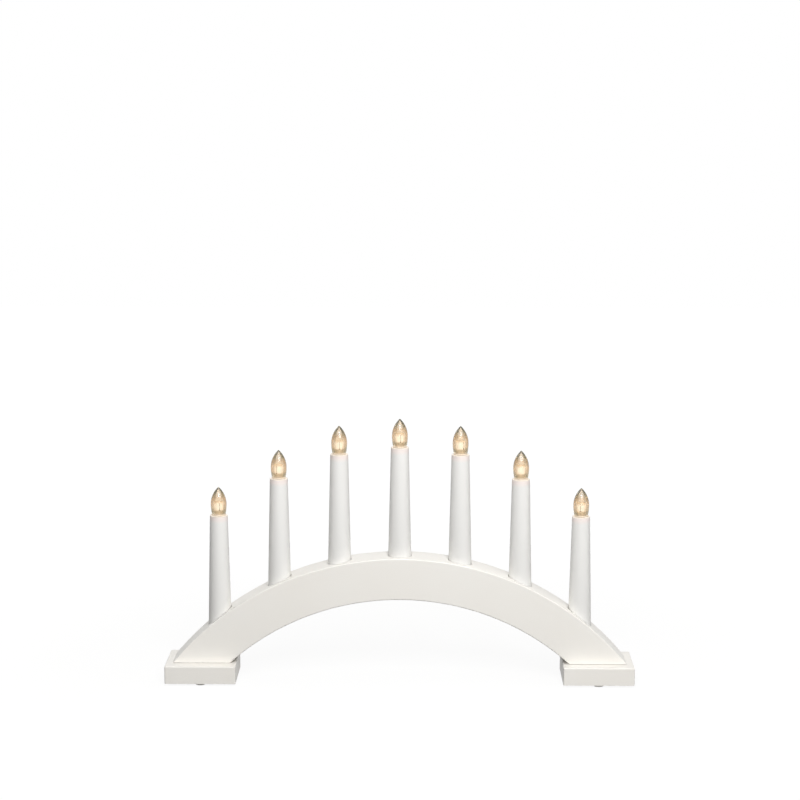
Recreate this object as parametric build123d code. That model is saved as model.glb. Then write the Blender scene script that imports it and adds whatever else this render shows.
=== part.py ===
from build123d import *
import os
from math import asin, atan, atan2, cos, degrees, hypot, pi, radians, sin, sqrt, tan

# Candle arch: a white lacquered wooden arch on two feet, with seven hollow
# candle tubes and a small screw-in lamp on top of each.
# Millimetres. +Z is up and +X runs along the arch. The origin is the middle
# of the surface that the pads stand on. The front is the side towards -Y.

# Feet and their pads
overall_length = 470.0
foot_length = 71.0
foot_depth = 60.0
foot_height = 18.0
foot_arris = 1.2
pad_diameter = 10.0
pad_thickness = 2.0
pad_edge_margin = 2.0

# Arch board: a bent band of even width, cut flat where it stands on the feet
arch_outer_radius = 295.0
arch_band_width = 42.0
arch_rise = 108.0
board_thickness = 35.0

# Candle tubes and their seats, cut deeper where the arch slopes more
candle_count = 7
candle_pitch = 60.4
tube_length = 119.5
tube_top_diameter = 17.9
tube_base_diameter = 23.6
tube_wall = 1.2
seat_clearance = 0.3
middle_seat_depth = 10.2
second_seat_depth = 11.1
third_seat_depth = 16.2
outer_seat_depth = 17.7

# Wire groove in the underside, and the holes that join it to the seats
groove_width = 9.0
groove_depth = 8.0
wire_hole_diameter = 9.0

# Lamp holders: a collar on the tube's rim and a barrel inside the tube
holder_flange_thickness = 1.0
holder_clearance = 0.15
holder_floor_thickness = 3.0
thread_clearance = 0.08
shell_wall = 0.3
shell_drop = 0.8
shell_length = 10.0
strip_thickness = 0.5
strip_width = 2.4
strip_below_floor = 2.5
strip_clearance = 0.1

# Lamps: a screw cap with its foot contact, a light guide and a clear hood
lamp_gap = 0.4
contact_gap = 0.3
cap_diameter = 9.2
cap_length = 10.0
foot_cone_diameter = 6.4
foot_contact_diameter = 3.2
foot_cone_height = 1.2
foot_contact_height = 0.8
lamp_base_thickness = 1.1
guide_diameter = 6.0
guide_height = 12.5
guide_clearance = 0.3
hood_base_diameter = 13.9
hood_diameter = 15.9
hood_height = 27.1
hood_widest_height = 9.6
hood_tip_diameter = 1.0
hood_bands = 4

# Series wiring: single insulated wires from lamp to lamp
wire_diameter = 1.6
wire_bend_radius = 6.0
wire_overlap = 1.5
wire_spacing = 2.6
wire_height_share = 0.55
wire_run_share = 0.45
wire_sides = 4
return_steps = 8
square_turn = 60.0

# Keepers pressed across the groove under the wires
keeper_length = 6.0
keeper_thickness = 1.8
keeper_inset = 0.4
keeper_shares = (1 / 3, 2 / 3)

# Bush in the back where the mains cord would leave
outlet_angle = 34.0
outlet_height = 8.0
outlet_approach = 12.0
outlet_wire_spacing = 1.8
bush_diameter = 8.0
bush_clearance = 0.05
bush_length = 9.0
bush_flange_diameter = 12.0
bush_flange_thickness = 2.0
bush_bore_diameter = 5.0

# Countersunk screws that hold the feet, two in each
screw_diameter = 3.5
screw_head_diameter = 7.0
screw_length = 30.0
screw_spacing = 28.0
screw_clearance = 0.05

# Round pieces that repeat are made with this many flat sides
round_sides = 18
cap_sides = 14
small_sides = 10

# How far a cutter runs past the face that it cuts
overrun = 2.0

# Sizes that follow from the ones above
foot_top = pad_thickness + foot_height
arch_inner_radius = arch_outer_radius - arch_band_width
arch_centre_z = foot_top + arch_rise - arch_outer_radius
groove_radius = arch_inner_radius + groove_depth
wire_radius = arch_inner_radius + wire_height_share * groove_depth
outlet_radius = arch_inner_radius + outlet_height
seat_radius = tube_base_diameter / 2 + seat_clearance
seat_depths = (middle_seat_depth, second_seat_depth, third_seat_depth, outer_seat_depth)
foot_centre_x = (overall_length - foot_length) / 2
lamp_depth = cap_length - lamp_gap + foot_cone_height + foot_contact_height
bore_depth = lamp_depth + contact_gap + strip_thickness
shell_bore_radius = cap_diameter / 2 + thread_clearance
shell_radius = shell_bore_radius + shell_wall
barrel_radius = tube_top_diameter / 2 - tube_wall - holder_clearance
barrel_length = bore_depth + holder_floor_thickness - holder_flange_thickness
strip_bottom = -bore_depth - holder_floor_thickness - strip_below_floor
terminal_x = shell_bore_radius - wire_diameter / 2


def candle_numbers():
    """Candles are numbered from 1, from left to right."""
    return range(1, candle_count + 1)


def candle_step(number):
    """How many places a candle stands to the right of the middle one."""
    return number - (candle_count + 1) // 2


def candle_x(number):
    return candle_step(number) * candle_pitch


def seat_z(number):
    """Height of the flat floor of a candle's seat."""
    place = min(abs(candle_step(number)), len(seat_depths) - 1)
    surface = arch_centre_z + sqrt(arch_outer_radius**2 - candle_x(number) ** 2)
    return surface - seat_depths[place]


def rim_z(number):
    """Height of the top of a candle, where its lamp sits."""
    return seat_z(number) + tube_length + holder_flange_thickness


def seat_radial(number):
    """Distance and tilt from the arch's centre to the middle of a seat floor."""
    rise = seat_z(number) - arch_centre_z
    return hypot(candle_x(number), rise), atan2(candle_x(number), rise)


def bar(radius, height, sides):
    """A round bar that stands on the origin, with its corners on the circle."""
    return extrude(RegularPolygon(radius, sides), height)


def hole(radius, height, sides):
    """The same with its flats on the circle, so that what fits inside has room."""
    return extrude(RegularPolygon(radius, sides, major_radius=False), height)


def frustum(base_radius, top_radius, height, sides):
    """A round bar that narrows or widens evenly from its base to its top."""
    if top_radius > base_radius:
        return Pos(0, 0, height) * Rot(180, 0, 0) * frustum(top_radius, base_radius, height, sides)
    slope = (base_radius - top_radius) * cos(pi / sides) / height
    return extrude(RegularPolygon(base_radius, sides), height, taper=degrees(atan(slope)))


def band(inner_radius, outer_radius, thickness):
    """The part of a ring about the arch's centre that lies above the feet."""
    ring = Circle(outer_radius) - Circle(inner_radius)
    solid = Pos(0, 0, arch_centre_z) * extrude(Plane.XZ * ring, thickness / 2, both=True)
    low = (Align.CENTER, Align.CENTER, Align.MIN)
    room = Box(2 * outer_radius, thickness, 2 * outer_radius, align=low)
    return solid & Pos(0, 0, foot_top) * room


def arch_board():
    board = band(arch_inner_radius, arch_outer_radius, board_thickness)
    board -= band(arch_inner_radius - overrun, groove_radius, groove_width)
    for number in candle_numbers():
        board -= seat_cutter(number)
        board -= wire_hole_cutter(number)
    board -= at_outlet(hole(bush_diameter / 2, board_thickness / 2 + overrun, round_sides))
    pilot_radius = screw_diameter / 2 + screw_clearance
    pilot_depth = screw_length - foot_height + screw_clearance
    for x in screw_places():
        board -= Pos(x, 0, foot_top) * hole(pilot_radius, pilot_depth, small_sides)
    return board


def seat_cutter(number):
    """A flat-bottomed hole, drilled straight down for the tube's base."""
    cutter = hole(seat_radius, arch_rise, round_sides)
    return Pos(candle_x(number), 0, seat_z(number)) * cutter


def wire_hole_cutter(number):
    """A hole drilled square to the underside, from the groove to the seat."""
    reach, tilt = seat_radial(number)
    top = reach + wire_hole_diameter / 2 * abs(tan(tilt))
    cutter = hole(wire_hole_diameter / 2, top - wire_radius, small_sides)
    cutter = Pos(0, 0, wire_radius) * cutter
    return Pos(0, 0, arch_centre_z) * Rot(0, degrees(tilt), 0) * cutter


def at_outlet(solid):
    """Turns a solid that stands along Z to lie along Y, at the cord's way out."""
    turned = Pos(0, 0, outlet_radius) * Rot(-90, 0, 0) * solid
    return Pos(0, 0, arch_centre_z) * Rot(0, outlet_angle, 0) * turned


def cord_bush():
    """A plain round bush with a flange against the back of the board."""
    back = board_thickness / 2
    sleeve = bar(bush_diameter / 2 - bush_clearance, bush_length, round_sides)
    flange = bar(bush_flange_diameter / 2, bush_flange_thickness, round_sides)
    way = hole(bush_bore_diameter / 2, bush_length + bush_flange_thickness, round_sides)
    bush = Pos(0, 0, back - bush_length) * sleeve + Pos(0, 0, back) * flange
    return at_outlet(bush - Pos(0, 0, back - bush_length) * way)


def screw_places():
    """The X of each foot screw, from left to right."""
    half = screw_spacing / 2
    middles = (-foot_centre_x, foot_centre_x)
    return [middle + side for middle in middles for side in (-half, half)]


def foot(middle_x):
    """A flat block with its upper edges and corners eased."""
    low = (Align.CENTER, Align.CENTER, Align.MIN)
    block = Box(foot_length, foot_depth, foot_height, align=low)
    block = Pos(middle_x, 0, pad_thickness) * block
    bottom = block.faces().sort_by(Axis.Z)[0]
    block = chamfer(block.edges() - bottom.edges(), foot_arris)
    for x in screw_places():
        if abs(x - middle_x) < foot_length / 2:
            block -= Pos(x, 0, pad_thickness) * screw_cutter()
    return block


def screw_cutter():
    """A clear hole for the shank, with a countersink for the head."""
    shank_radius = screw_diameter / 2 + screw_clearance
    head_radius = screw_head_diameter / 2 + screw_clearance
    shank = hole(shank_radius, foot_height + overrun, small_sides)
    wide = head_radius / cos(pi / small_sides)
    narrow = shank_radius / cos(pi / small_sides)
    return shank + frustum(wide, narrow, wide - narrow, small_sides)


def foot_screw():
    """A countersunk screw that stands head down."""
    shank_radius = screw_diameter / 2
    head_radius = screw_head_diameter / 2
    shank = bar(shank_radius, screw_length, small_sides)
    head = frustum(head_radius, shank_radius, head_radius - shank_radius, small_sides)
    return shank + head


def foot_screws():
    return [Pos(x, 0, pad_thickness) * foot_screw() for x in screw_places()]


def foot_pads():
    """Two felt discs under each foot, near its front and back edges."""
    reach = foot_depth / 2 - pad_edge_margin - pad_diameter / 2
    disc = bar(pad_diameter / 2, pad_thickness, round_sides)
    middles = (-foot_centre_x, foot_centre_x)
    return [Pos(x, y, 0) * disc for x in middles for y in (-reach, reach)]


def candle_tube(number):
    """A hollow moulded tube that widens down to its seat."""
    base = tube_base_diameter / 2
    top = tube_top_diameter / 2
    outside = frustum(base, top, tube_length, round_sides)
    inside = frustum(base - tube_wall, top - tube_wall, tube_length, round_sides)
    return Pos(candle_x(number), 0, seat_z(number)) * (outside - inside)


def at_rim(solid, number, height=0):
    """Puts a solid on a candle's axis, at a height from the top of its rim."""
    return Pos(candle_x(number), 0, rim_z(number) + height) * solid


def lamp_holder(number):
    """A collar that rests on the tube's rim, and a barrel with a floor."""
    flange = bar(tube_top_diameter / 2, holder_flange_thickness, round_sides)
    barrel = bar(barrel_radius, barrel_length, cap_sides)
    bottom = holder_flange_thickness + barrel_length
    body = barrel + Pos(0, 0, barrel_length) * flange
    way = hole(shell_radius + holder_clearance, bore_depth, cap_sides)
    body -= Pos(0, 0, bottom - bore_depth) * way
    low = (Align.CENTER, Align.CENTER, Align.MIN)
    slot_length = strip_thickness + 2 * strip_clearance
    slot_width = strip_width + 2 * strip_clearance
    slot_height = bottom - shell_drop - shell_length + shell_wall
    slot = Box(slot_length, slot_width, slot_height, align=low)
    for side in (-1, 1):
        body -= Pos(side * (shell_bore_radius + strip_thickness / 2), 0, 0) * slot
    return at_rim(body, number, -bottom)


def strip_leg(side, top):
    """The flat leg of a terminal, from a height down through the floor."""
    low = (Align.CENTER, Align.CENTER, Align.MIN)
    leg = Box(strip_thickness, strip_width, top - strip_bottom, align=low)
    return Pos(side * (shell_bore_radius + strip_thickness / 2), 0, strip_bottom) * leg


def thread_shell(number):
    """The brass sleeve that the cap screws into, with its terminal leg."""
    sleeve = hole(shell_radius, shell_length, cap_sides)
    sleeve -= hole(shell_bore_radius, shell_length, cap_sides)
    bottom = -shell_drop - shell_length
    shell = Pos(0, 0, bottom) * sleeve + strip_leg(1, bottom + shell_wall)
    return at_rim(shell, number)


def centre_contact(number):
    """A spring tongue under the lamp's foot, with its terminal leg."""
    top = strip_thickness - bore_depth
    reach = shell_bore_radius + strip_thickness
    tongue_length = reach + foot_contact_diameter / 2
    corner = (Align.MIN, Align.CENTER, Align.MAX)
    tongue = Box(tongue_length, strip_width, strip_thickness, align=corner)
    return at_rim(Pos(-reach, 0, top) * tongue + strip_leg(-1, top), number)


def lamp_foot(number):
    """The insulating cone under the cap and the round contact at its point."""
    contact_radius = foot_contact_diameter / 2
    low = (Align.CENTER, Align.CENTER, Align.MIN)
    contact = Cylinder(contact_radius, foot_contact_height, align=low)
    cone = frustum(contact_radius, foot_cone_diameter / 2, foot_cone_height, small_sides)
    return at_rim(contact + Pos(0, 0, foot_contact_height) * cone, number, -lamp_depth)


def lamp_cap(number):
    cap = bar(cap_diameter / 2, cap_length, cap_sides)
    return at_rim(cap, number, lamp_gap - cap_length)


def light_guide(number):
    """The lamp's round base with the glowing guide that stands on it."""
    base = bar(hood_base_diameter / 2, lamp_base_thickness, round_sides)
    guide = bar(guide_diameter / 2, guide_height, small_sides)
    return at_rim(base + Pos(0, 0, lamp_base_thickness) * guide, number, lamp_gap)


def hood_profile():
    """Radius and height of each ring of the hood, from its base to its tip."""
    widest = hood_diameter / 2
    narrowing = widest - hood_tip_diameter / 2
    rise = hood_height - hood_widest_height
    flank_radius = (narrowing**2 + rise**2) / (2 * narrowing)
    sweep = asin(rise / flank_radius)
    rings = [(hood_base_diameter / 2, 0)]
    for number in range(hood_bands + 1):
        angle = sweep * number / hood_bands
        ring_height = hood_widest_height + flank_radius * sin(angle)
        rings.append((widest - flank_radius * (1 - cos(angle)), ring_height))
    return rings


def lamp_hood(number):
    """A clear pointed hood with a blind bore over the light guide."""
    rings = hood_profile()
    hood = None
    for (radius, bottom), (next_radius, top) in zip(rings, rings[1:]):
        piece = Pos(0, 0, bottom) * frustum(radius, next_radius, top - bottom, round_sides)
        hood = hood + piece if hood else piece
    bore_radius = guide_diameter / 2 + guide_clearance
    hood -= hole(bore_radius, guide_height + guide_clearance, small_sides)
    return at_rim(hood, number, lamp_gap + lamp_base_thickness)


def groove_point(angle, across, y, radius=wire_radius):
    """A point in the groove, by its angle from upright about the arch's centre."""
    x = radius * sin(angle) + across * cos(angle)
    z = radius * cos(angle) - across * sin(angle)
    return Vector(x, y, arch_centre_z + z)


def wire_drop(number, side, across, y):
    """Points of a wire from a holder's leg down to the groove."""
    tilt = seat_radial(number)[1]
    x = candle_x(number)
    top = rim_z(number) + strip_bottom + wire_overlap
    bend = across * tan(tilt / 2)
    bend_x = x + across * cos(tilt) + bend * sin(tilt)
    bend_z = seat_z(number) - across * sin(tilt) + bend * cos(tilt)
    start = Vector(x + side * terminal_x, 0, top)
    return [start, Vector(bend_x, y, bend_z), groove_point(tilt, across, y)]


def corner_radii(points):
    """Each bend as large as its two runs allow. A square turn has a limit too."""
    radii = []
    for before, corner, after in zip(points, points[1:], points[2:]):
        turn = (corner - before).get_angle(after - corner)
        shorter = min((corner - before).length, (after - corner).length)
        largest = wire_run_share * shorter / tan(radians(turn) / 2)
        radii.append(min(largest, wire_bend_radius) if turn > square_turn else largest)
    return radii


def wire_solid(points):
    """A wire swept along straight runs joined by tangent arcs."""
    path = FilletPolyline(*points, radius=corner_radii(points))
    start = Plane(origin=path @ 0, z_dir=path % 0)
    half_side = 180 / wire_sides
    section = start * RegularPolygon(wire_diameter / 2, wire_sides, rotation=half_side)
    print("wire length", round(path.length, 1), "mm")
    return sweep(section, path=path)


def link_wire(number):
    """From one lamp's right leg to the next lamp's left leg."""
    down = wire_drop(number, 1, wire_spacing, 0)
    up = wire_drop(number + 1, -1, -wire_spacing, 0)
    middle = (seat_radial(number)[1] + seat_radial(number + 1)[1]) / 2
    return wire_solid(down + [groove_point(middle, 0, 0)] + up[::-1])


def outlet_run(side):
    """Points of a wire that rises out of the groove and turns into the bush."""
    angle = radians(outlet_angle)
    inner_end = board_thickness / 2 - bush_length + wire_overlap
    across = side * outlet_wire_spacing / 2
    low = groove_point(angle, side * outlet_approach, wire_spacing)
    corner = groove_point(angle, across, wire_spacing, outlet_radius)
    return [low, corner, groove_point(angle, across, inner_end, outlet_radius)]


def return_wire():
    """From the first lamp's left leg along the whole groove to the bush."""
    points = wire_drop(1, -1, -wire_spacing / 2, wire_spacing)
    start = seat_radial(1)[1]
    end = radians(outlet_angle)
    for step in range(1, return_steps):
        angle = start + (end - start) * step / return_steps
        points.append(groove_point(angle, 0, wire_spacing))
    return wire_solid(points + outlet_run(-1))


def feed_wire():
    """From the last lamp's right leg back along the groove to the bush."""
    points = wire_drop(candle_count, 1, wire_spacing / 2, wire_spacing)
    return wire_solid(points + outlet_run(1))


def lamp_wires():
    links = [link_wire(number) for number in candle_numbers()[:-1]]
    return links + [return_wire(), feed_wire()]


def wire_keepers():
    """Small strips across the groove, two between each pair of candles."""
    low = (Align.CENTER, Align.CENTER, Align.MIN)
    strip = Box(keeper_length, groove_width, keeper_thickness, align=low)
    strip = Pos(0, 0, arch_inner_radius + keeper_inset) * strip
    keepers = []
    for number in candle_numbers()[:-1]:
        left = seat_radial(number)[1]
        right = seat_radial(number + 1)[1]
        for share in keeper_shares:
            angle = degrees(left + (right - left) * share)
            keepers.append(Pos(0, 0, arch_centre_z) * Rot(0, angle, 0) * strip)
    return keepers


def write(name, made):
    """Writes one node, as one solid or as a group of separate ones."""
    if isinstance(made, list):
        made = Compound(children=[piece.solids()[0] for piece in made])
    export_step(made, os.path.join("parts", name + ".step"))


def main():
    os.makedirs("parts", exist_ok=True)
    write("arch_board", arch_board())
    write("left_foot", foot(-foot_centre_x))
    write("right_foot", foot(foot_centre_x))
    write("foot_screws", foot_screws())
    write("foot_pads", foot_pads())
    write("cord_bush", cord_bush())
    write("lamp_wires", lamp_wires())
    write("wire_keepers", wire_keepers())
    write("lamp_holders", [lamp_holder(number) for number in candle_numbers()])
    write("thread_shells", [thread_shell(number) for number in candle_numbers()])
    write("centre_contacts", [centre_contact(number) for number in candle_numbers()])
    for number in candle_numbers():
        write(f"candle_tube_{number}", candle_tube(number))
        write(f"lamp_foot_{number}", lamp_foot(number))
        write(f"lamp_cap_{number}", lamp_cap(number))
        write(f"light_guide_{number}", light_guide(number))
        write(f"lamp_hood_{number}", lamp_hood(number))


main()
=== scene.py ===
from math import asin, atan2, cos, hypot, pi, radians, sin, sqrt, tan

import bmesh
import bpy
from mathutils import Euler, Matrix, Vector


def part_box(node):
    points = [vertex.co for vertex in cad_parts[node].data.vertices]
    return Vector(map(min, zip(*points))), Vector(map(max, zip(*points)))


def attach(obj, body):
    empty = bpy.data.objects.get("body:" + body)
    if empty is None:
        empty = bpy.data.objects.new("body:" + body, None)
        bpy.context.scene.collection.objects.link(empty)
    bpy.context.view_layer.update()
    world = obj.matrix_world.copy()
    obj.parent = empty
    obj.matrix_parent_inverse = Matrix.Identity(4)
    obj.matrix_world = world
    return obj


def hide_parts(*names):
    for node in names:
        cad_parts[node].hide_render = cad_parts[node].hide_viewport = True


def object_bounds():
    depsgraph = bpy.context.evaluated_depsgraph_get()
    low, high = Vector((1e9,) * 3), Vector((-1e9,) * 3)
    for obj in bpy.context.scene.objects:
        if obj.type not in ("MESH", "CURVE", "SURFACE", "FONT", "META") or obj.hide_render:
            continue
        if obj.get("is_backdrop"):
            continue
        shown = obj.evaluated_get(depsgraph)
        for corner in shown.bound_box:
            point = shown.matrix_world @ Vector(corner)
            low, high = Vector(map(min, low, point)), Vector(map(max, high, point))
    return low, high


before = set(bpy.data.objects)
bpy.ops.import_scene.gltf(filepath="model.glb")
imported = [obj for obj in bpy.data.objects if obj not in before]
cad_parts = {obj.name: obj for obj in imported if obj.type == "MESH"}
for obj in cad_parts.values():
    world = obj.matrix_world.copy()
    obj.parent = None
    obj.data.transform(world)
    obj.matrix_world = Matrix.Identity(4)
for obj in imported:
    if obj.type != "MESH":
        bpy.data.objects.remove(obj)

# White lacquered candle arch with seven screw-in lamps. Shapes are made in
# millimetres in the frame's own axes and turned to metres at the end.
cad_low, cad_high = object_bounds()
MM = 0.001

# Feet
foot_arris = 1.2
pad_radius = 5.0
pad_thickness = 2.0
pad_ease = 0.4

# Arch board
arch_outer_radius = 295.0
arch_band_width = 42.0
arch_rise = 108.0
board_thickness = 35.0
board_arris = 1.1
board_half_sweep = radians(53)
board_segments = 213
groove_width = 9.0
groove_depth = 8.0
groove_ease = 0.3
joint_gap = 0.45
joint_gap_depth = 2.5
wire_hole_radius = 4.5

# Candle tubes
tube_top_radius = 8.95
tube_wall = 1.2
tube_ease = 0.25
seat_clearance = 0.3

# Lamp holders, thread shells and contacts, measured down from the rim
flange_thickness = 1.0
flange_ease = 0.4
barrel_radius = 7.6
barrel_foot_ease = 0.5
bore_radius = 5.13
bore_depth = 12.4
bore_foot_ease = 0.3
bore_mouth_ease = 0.25
holder_floor = 3.0
shell_radius = 4.68
shell_wall = 0.3
shell_top = -0.8
shell_bottom = -10.8
strip_thickness = 0.5
strip_width = 2.4
strip_ease = 0.12
strip_bottom = -17.9
strip_clearance = 0.1
tongue_reach = 1.6
tongue_bend = 0.9
tongue_end_ease = 0.2

# Edison thread, rolled into the caps and the shells
thread_pitch = 1.814
thread_depth = 0.45
thread_ring_step = 0.15
cap_radius = 4.6
cap_top = 0.4
cap_bottom = -9.6
cap_ease = 0.35
cap_thread = (-9.2, -0.6)
cap_core_radius = 2.0
shell_thread = (-10.7, -0.9)
shell_core_radius = 1.0
thread_run_out = 0.9

# Lamp foot, light guide and hood, measured up from the rim
foot_contact_radius = 1.6
foot_contact_height = 0.8
foot_contact_ease = 0.6
foot_cone_radius = 3.2
foot_cone_height = 1.2
lamp_base_radius = 6.95
lamp_base_top = 1.5
guide_radius = 3.0
guide_height = 12.5
guide_ease = 0.9
split_width = 0.5
split_depth = 1.1
split_hole_radius = 0.65
split_hole_sides = 20
split_foot = 4.4
split_margin = 0.05
split_turns = (18, -32, 8, 12, 46, 82, -14)
hood_radius = 7.95
hood_height = 27.1
hood_widest_height = 9.6
hood_tip_radius = 0.5
hood_tip_start, hood_tip_ring, hood_tip_ring_drop = 0.6, 0.55, 0.15  # in tip radii
hood_skirt_rings = 8
hood_rings = 26
hood_bore_inset = 0.1
hood_sink = 0.02

# Wires, keepers and the outlet
wire_radius = 0.8
wire_height_share = 0.55
wire_overlap = 1.5
wire_spacing = 2.6
wire_lead = 6.0
return_steps = 8
outlet_angle = radians(34)
outlet_height = 8.0
outlet_approach = 12.0
outlet_wire_spacing = 1.8
keeper_low = Vector((-3.0, -4.5, 0.4))
keeper_high = Vector((3.0, 4.5, 2.2))
keeper_ease = 0.5
keeper_shares = (1 / 3, 2 / 3)
bush_radius = 3.95
bush_seat_radius = 4.0
bush_length = 9.0
bush_flange_radius = 6.0
bush_flange_thickness = 2.0
bush_bore_radius = 2.5
bush_bore_ease = 0.2
bush_end_ease = 0.3
bush_ease = 0.8

# Countersunk foot screws
screw_radius = 1.75
screw_head_radius = 3.5
screw_rim = 0.15
screw_length = 30.0
screw_point = 2.5
screw_tip_radius = 0.3
screw_spacing = 28.0
screw_clearance = 0.05
screw_pitch = 1.6
screw_thread_depth = 0.5
screw_thread = (9.0, 29.0)
screw_core_radius = 1.0
screw_run_out = 2.0
screw_ring_step = 0.2
screw_sides = 32
screw_turn_per_mm = 0.4
recess_width = 0.9
recess_reach = 2.1
recess_depth = 1.7

turned_sides = 64
small_sides = 40
edge_break = 0.15
fine_break = 0.1
overrun = 2.0
sharp_angle = radians(32)

# What the frame says
left_foot_low, left_foot_high = (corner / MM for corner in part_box("left_foot"))
right_foot_low, right_foot_high = (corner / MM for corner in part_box("right_foot"))
foot_top = left_foot_high.z
tube_boxes = [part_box(f"candle_tube_{number}") for number in range(1, 8)]
tube_length = (tube_boxes[0][1].z - tube_boxes[0][0].z) / MM
tube_base_radius = (tube_boxes[0][1].x - tube_boxes[0][0].x) / MM / 2
seats = [Vector(((low.x + high.x) / 2, 0, low.z)) / MM for low, high in tube_boxes]
rims = [seat + Vector((0, 0, tube_length + flange_thickness)) for seat in seats]
unturned = (0, 0, 0)
seat_places = [(seat, unturned) for seat in seats]
rim_places = [(rim, unturned) for rim in rims]
arch_inner_radius = arch_outer_radius - arch_band_width
arch_centre_z = foot_top + arch_rise - arch_outer_radius
groove_radius = arch_inner_radius + groove_depth
wire_height = arch_inner_radius + wire_height_share * groove_depth
outlet_radius = arch_inner_radius + outlet_height
tilts = [atan2(seat.x, seat.z - arch_centre_z) for seat in seats]


def hue(code):
    """A linear colour from an sRGB hex code."""
    parts = [int(code[start:start + 2], 16) / 255 for start in (1, 3, 5)]
    return [part / 12.92 if part <= 0.04045 else ((part + 0.055) / 1.055) ** 2.4 for part in parts] + [1]


def add(tree, kind, inputs=None, stops=None, **settings):
    """Adds a node with its settings, its inputs' values or links, and a ramp's hex stops."""
    made = tree.nodes.new(kind)
    for name, value in settings.items():
        setattr(made, name, value)
    for name, value in (inputs or {}).items():
        if isinstance(value, bpy.types.NodeSocket):
            tree.links.new(value, made.inputs[name])
        else:
            made.inputs[name].default_value = value
    if stops:
        ramp = made.color_ramp.elements
        for end, (where, code) in zip((ramp[0], ramp[1]), (stops[0], stops[-1])):
            end.position, end.color = where, hue(code)
        for where, code in stops[1:-1]:
            ramp.new(where).color = hue(code)
    return made


# Meshes

def as_mesh(work):
    """Turns a bmesh into a mesh, with its faces outwards."""
    bmesh.ops.recalc_face_normals(work, faces=work.faces)
    made = bpy.data.meshes.new("shape")
    work.to_mesh(made)
    work.free()
    return made


def lathe(profile, sides=turned_sides, ring=False):
    """A solid turned about Z from (radius, height) points. A ring's outline closes on itself."""
    work = bmesh.new()
    rows = []
    for radius, height in profile:
        turns = sides if radius > 0 else 1
        spots = [(radius * cos(2 * pi * n / turns), radius * sin(2 * pi * n / turns)) for n in range(turns)]
        rows.append([work.verts.new((x, y, height)) for x, y in spots])
    pairs = list(zip(rows, rows[1:])) + ([(rows[-1], rows[0])] if ring else [])
    for lower, upper in pairs:
        for n in range(sides):
            corners = [lower[n % len(lower)], lower[(n + 1) % len(lower)]]
            corners += [upper[(n + 1) % len(upper)], upper[n % len(upper)]]
            work.faces.new(dict.fromkeys(corners))
    return as_mesh(work)


def eased(corners, steps=4):
    """An outline with each (x, y, ease) corner rounded off over that length."""
    outline = []
    for n, (x, y, ease) in enumerate(corners):
        if not ease:
            outline.append((x, y))
            continue
        corner = Vector((x, y))
        start = corner + (Vector(corners[n - 1][:2]) - corner).normalized() * ease
        end = corner + (Vector(corners[(n + 1) % len(corners)][:2]) - corner).normalized() * ease
        for step in range(steps + 1):
            share = step / steps
            spot = start * (1 - share) ** 2 + corner * 2 * share * (1 - share) + end * share**2
            outline.append((spot.x, spot.y))
    return outline


def finely(outline, step):
    """The same outline with its long upright runs divided, so that a thread can shape them."""
    fine = []
    for (x, y), (next_x, next_y) in zip(outline, outline[1:] + outline[:1]):
        parts = max(1, round(abs(next_y - y) / step)) if x and next_x else 1
        fine += [(x + (next_x - x) * n / parts, y + (next_y - y) * n / parts) for n in range(parts)]
    return fine


def block(low, high, ease=0.0, steps=4, flat_bottom=False):
    """A block between two corners with its arrises eased, save those of a flat bottom."""
    work = bmesh.new()
    middle = Matrix.Translation((low + high) / 2)
    bmesh.ops.create_cube(work, size=1, matrix=middle @ Matrix.Diagonal((*(high - low), 1)))
    if ease:
        arrises = [edge for edge in work.edges
                   if not flat_bottom or max(vert.co.z for vert in edge.verts) > (low.z + high.z) / 2]
        bmesh.ops.bevel(work, geom=arrises, offset=ease, segments=steps, profile=0.5, affect="EDGES")
    return as_mesh(work)


def placed(shape, matrix):
    """A copy of a mesh at another place."""
    copy = shape.copy()
    copy.transform(matrix)
    return copy


def joined(*shapes):
    """Several meshes as one."""
    work = bmesh.new()
    for shape in shapes:
        work.from_mesh(shape)
    made = bpy.data.meshes.new("shape")
    work.to_mesh(made)
    work.free()
    return made


def standing(shape):
    """A mesh as an object, so that modifiers can work on it."""
    stand = bpy.data.objects.new("bench", shape)
    bpy.context.collection.objects.link(stand)
    return stand


def baked(stand, *helpers):
    """The plain mesh that an object's modifiers make. The object and its helpers go."""
    bpy.context.view_layer.update()
    graph = bpy.context.evaluated_depsgraph_get()
    made = bpy.data.meshes.new_from_object(
        stand.evaluated_get(graph), preserve_all_data_layers=True, depsgraph=graph)
    for done in (stand, *helpers):
        bpy.data.objects.remove(done)
    return made


def cut(shape, *cutters):
    """A solid less each of its cutters. The manifold solver leaves no slits in a big board."""
    stand = standing(shape)
    helpers = [standing(cutter) for cutter in cutters]
    for helper in helpers:
        cutting = stand.modifiers.new("cut", "BOOLEAN")
        cutting.operation = "DIFFERENCE"
        cutting.solver = "MANIFOLD"
        cutting.object = helper
    return baked(stand, *helpers)


def smoothed(shape, even=False):
    """Smooth curves and crisp edges. Even shading keeps a big flat face flat beside its arris."""
    work = bmesh.new()
    work.from_mesh(shape)
    for face in work.faces:
        face.smooth = True
    for edge in work.edges:
        edge.smooth = edge.calc_face_angle(pi) < sharp_angle
    work.to_mesh(shape)
    work.free()
    if not even:
        return shape
    stand = standing(shape)
    weighted = stand.modifiers.new("even", "WEIGHTED_NORMAL")
    weighted.keep_sharp = True
    return baked(stand)


def noted(shape, name, value_at):
    """Stores a number or a vector for each point, for a pattern that follows the surface."""
    values = [value_at(vert.co) for vert in shape.vertices]
    kind, field = ("FLOAT", "value") if isinstance(values[0], float) else ("FLOAT_VECTOR", "vector")
    note = shape.attributes.new(name, kind, "POINT")
    for spot, value in enumerate(values):
        setattr(note.data[spot], field, value)
    return shape


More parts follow.
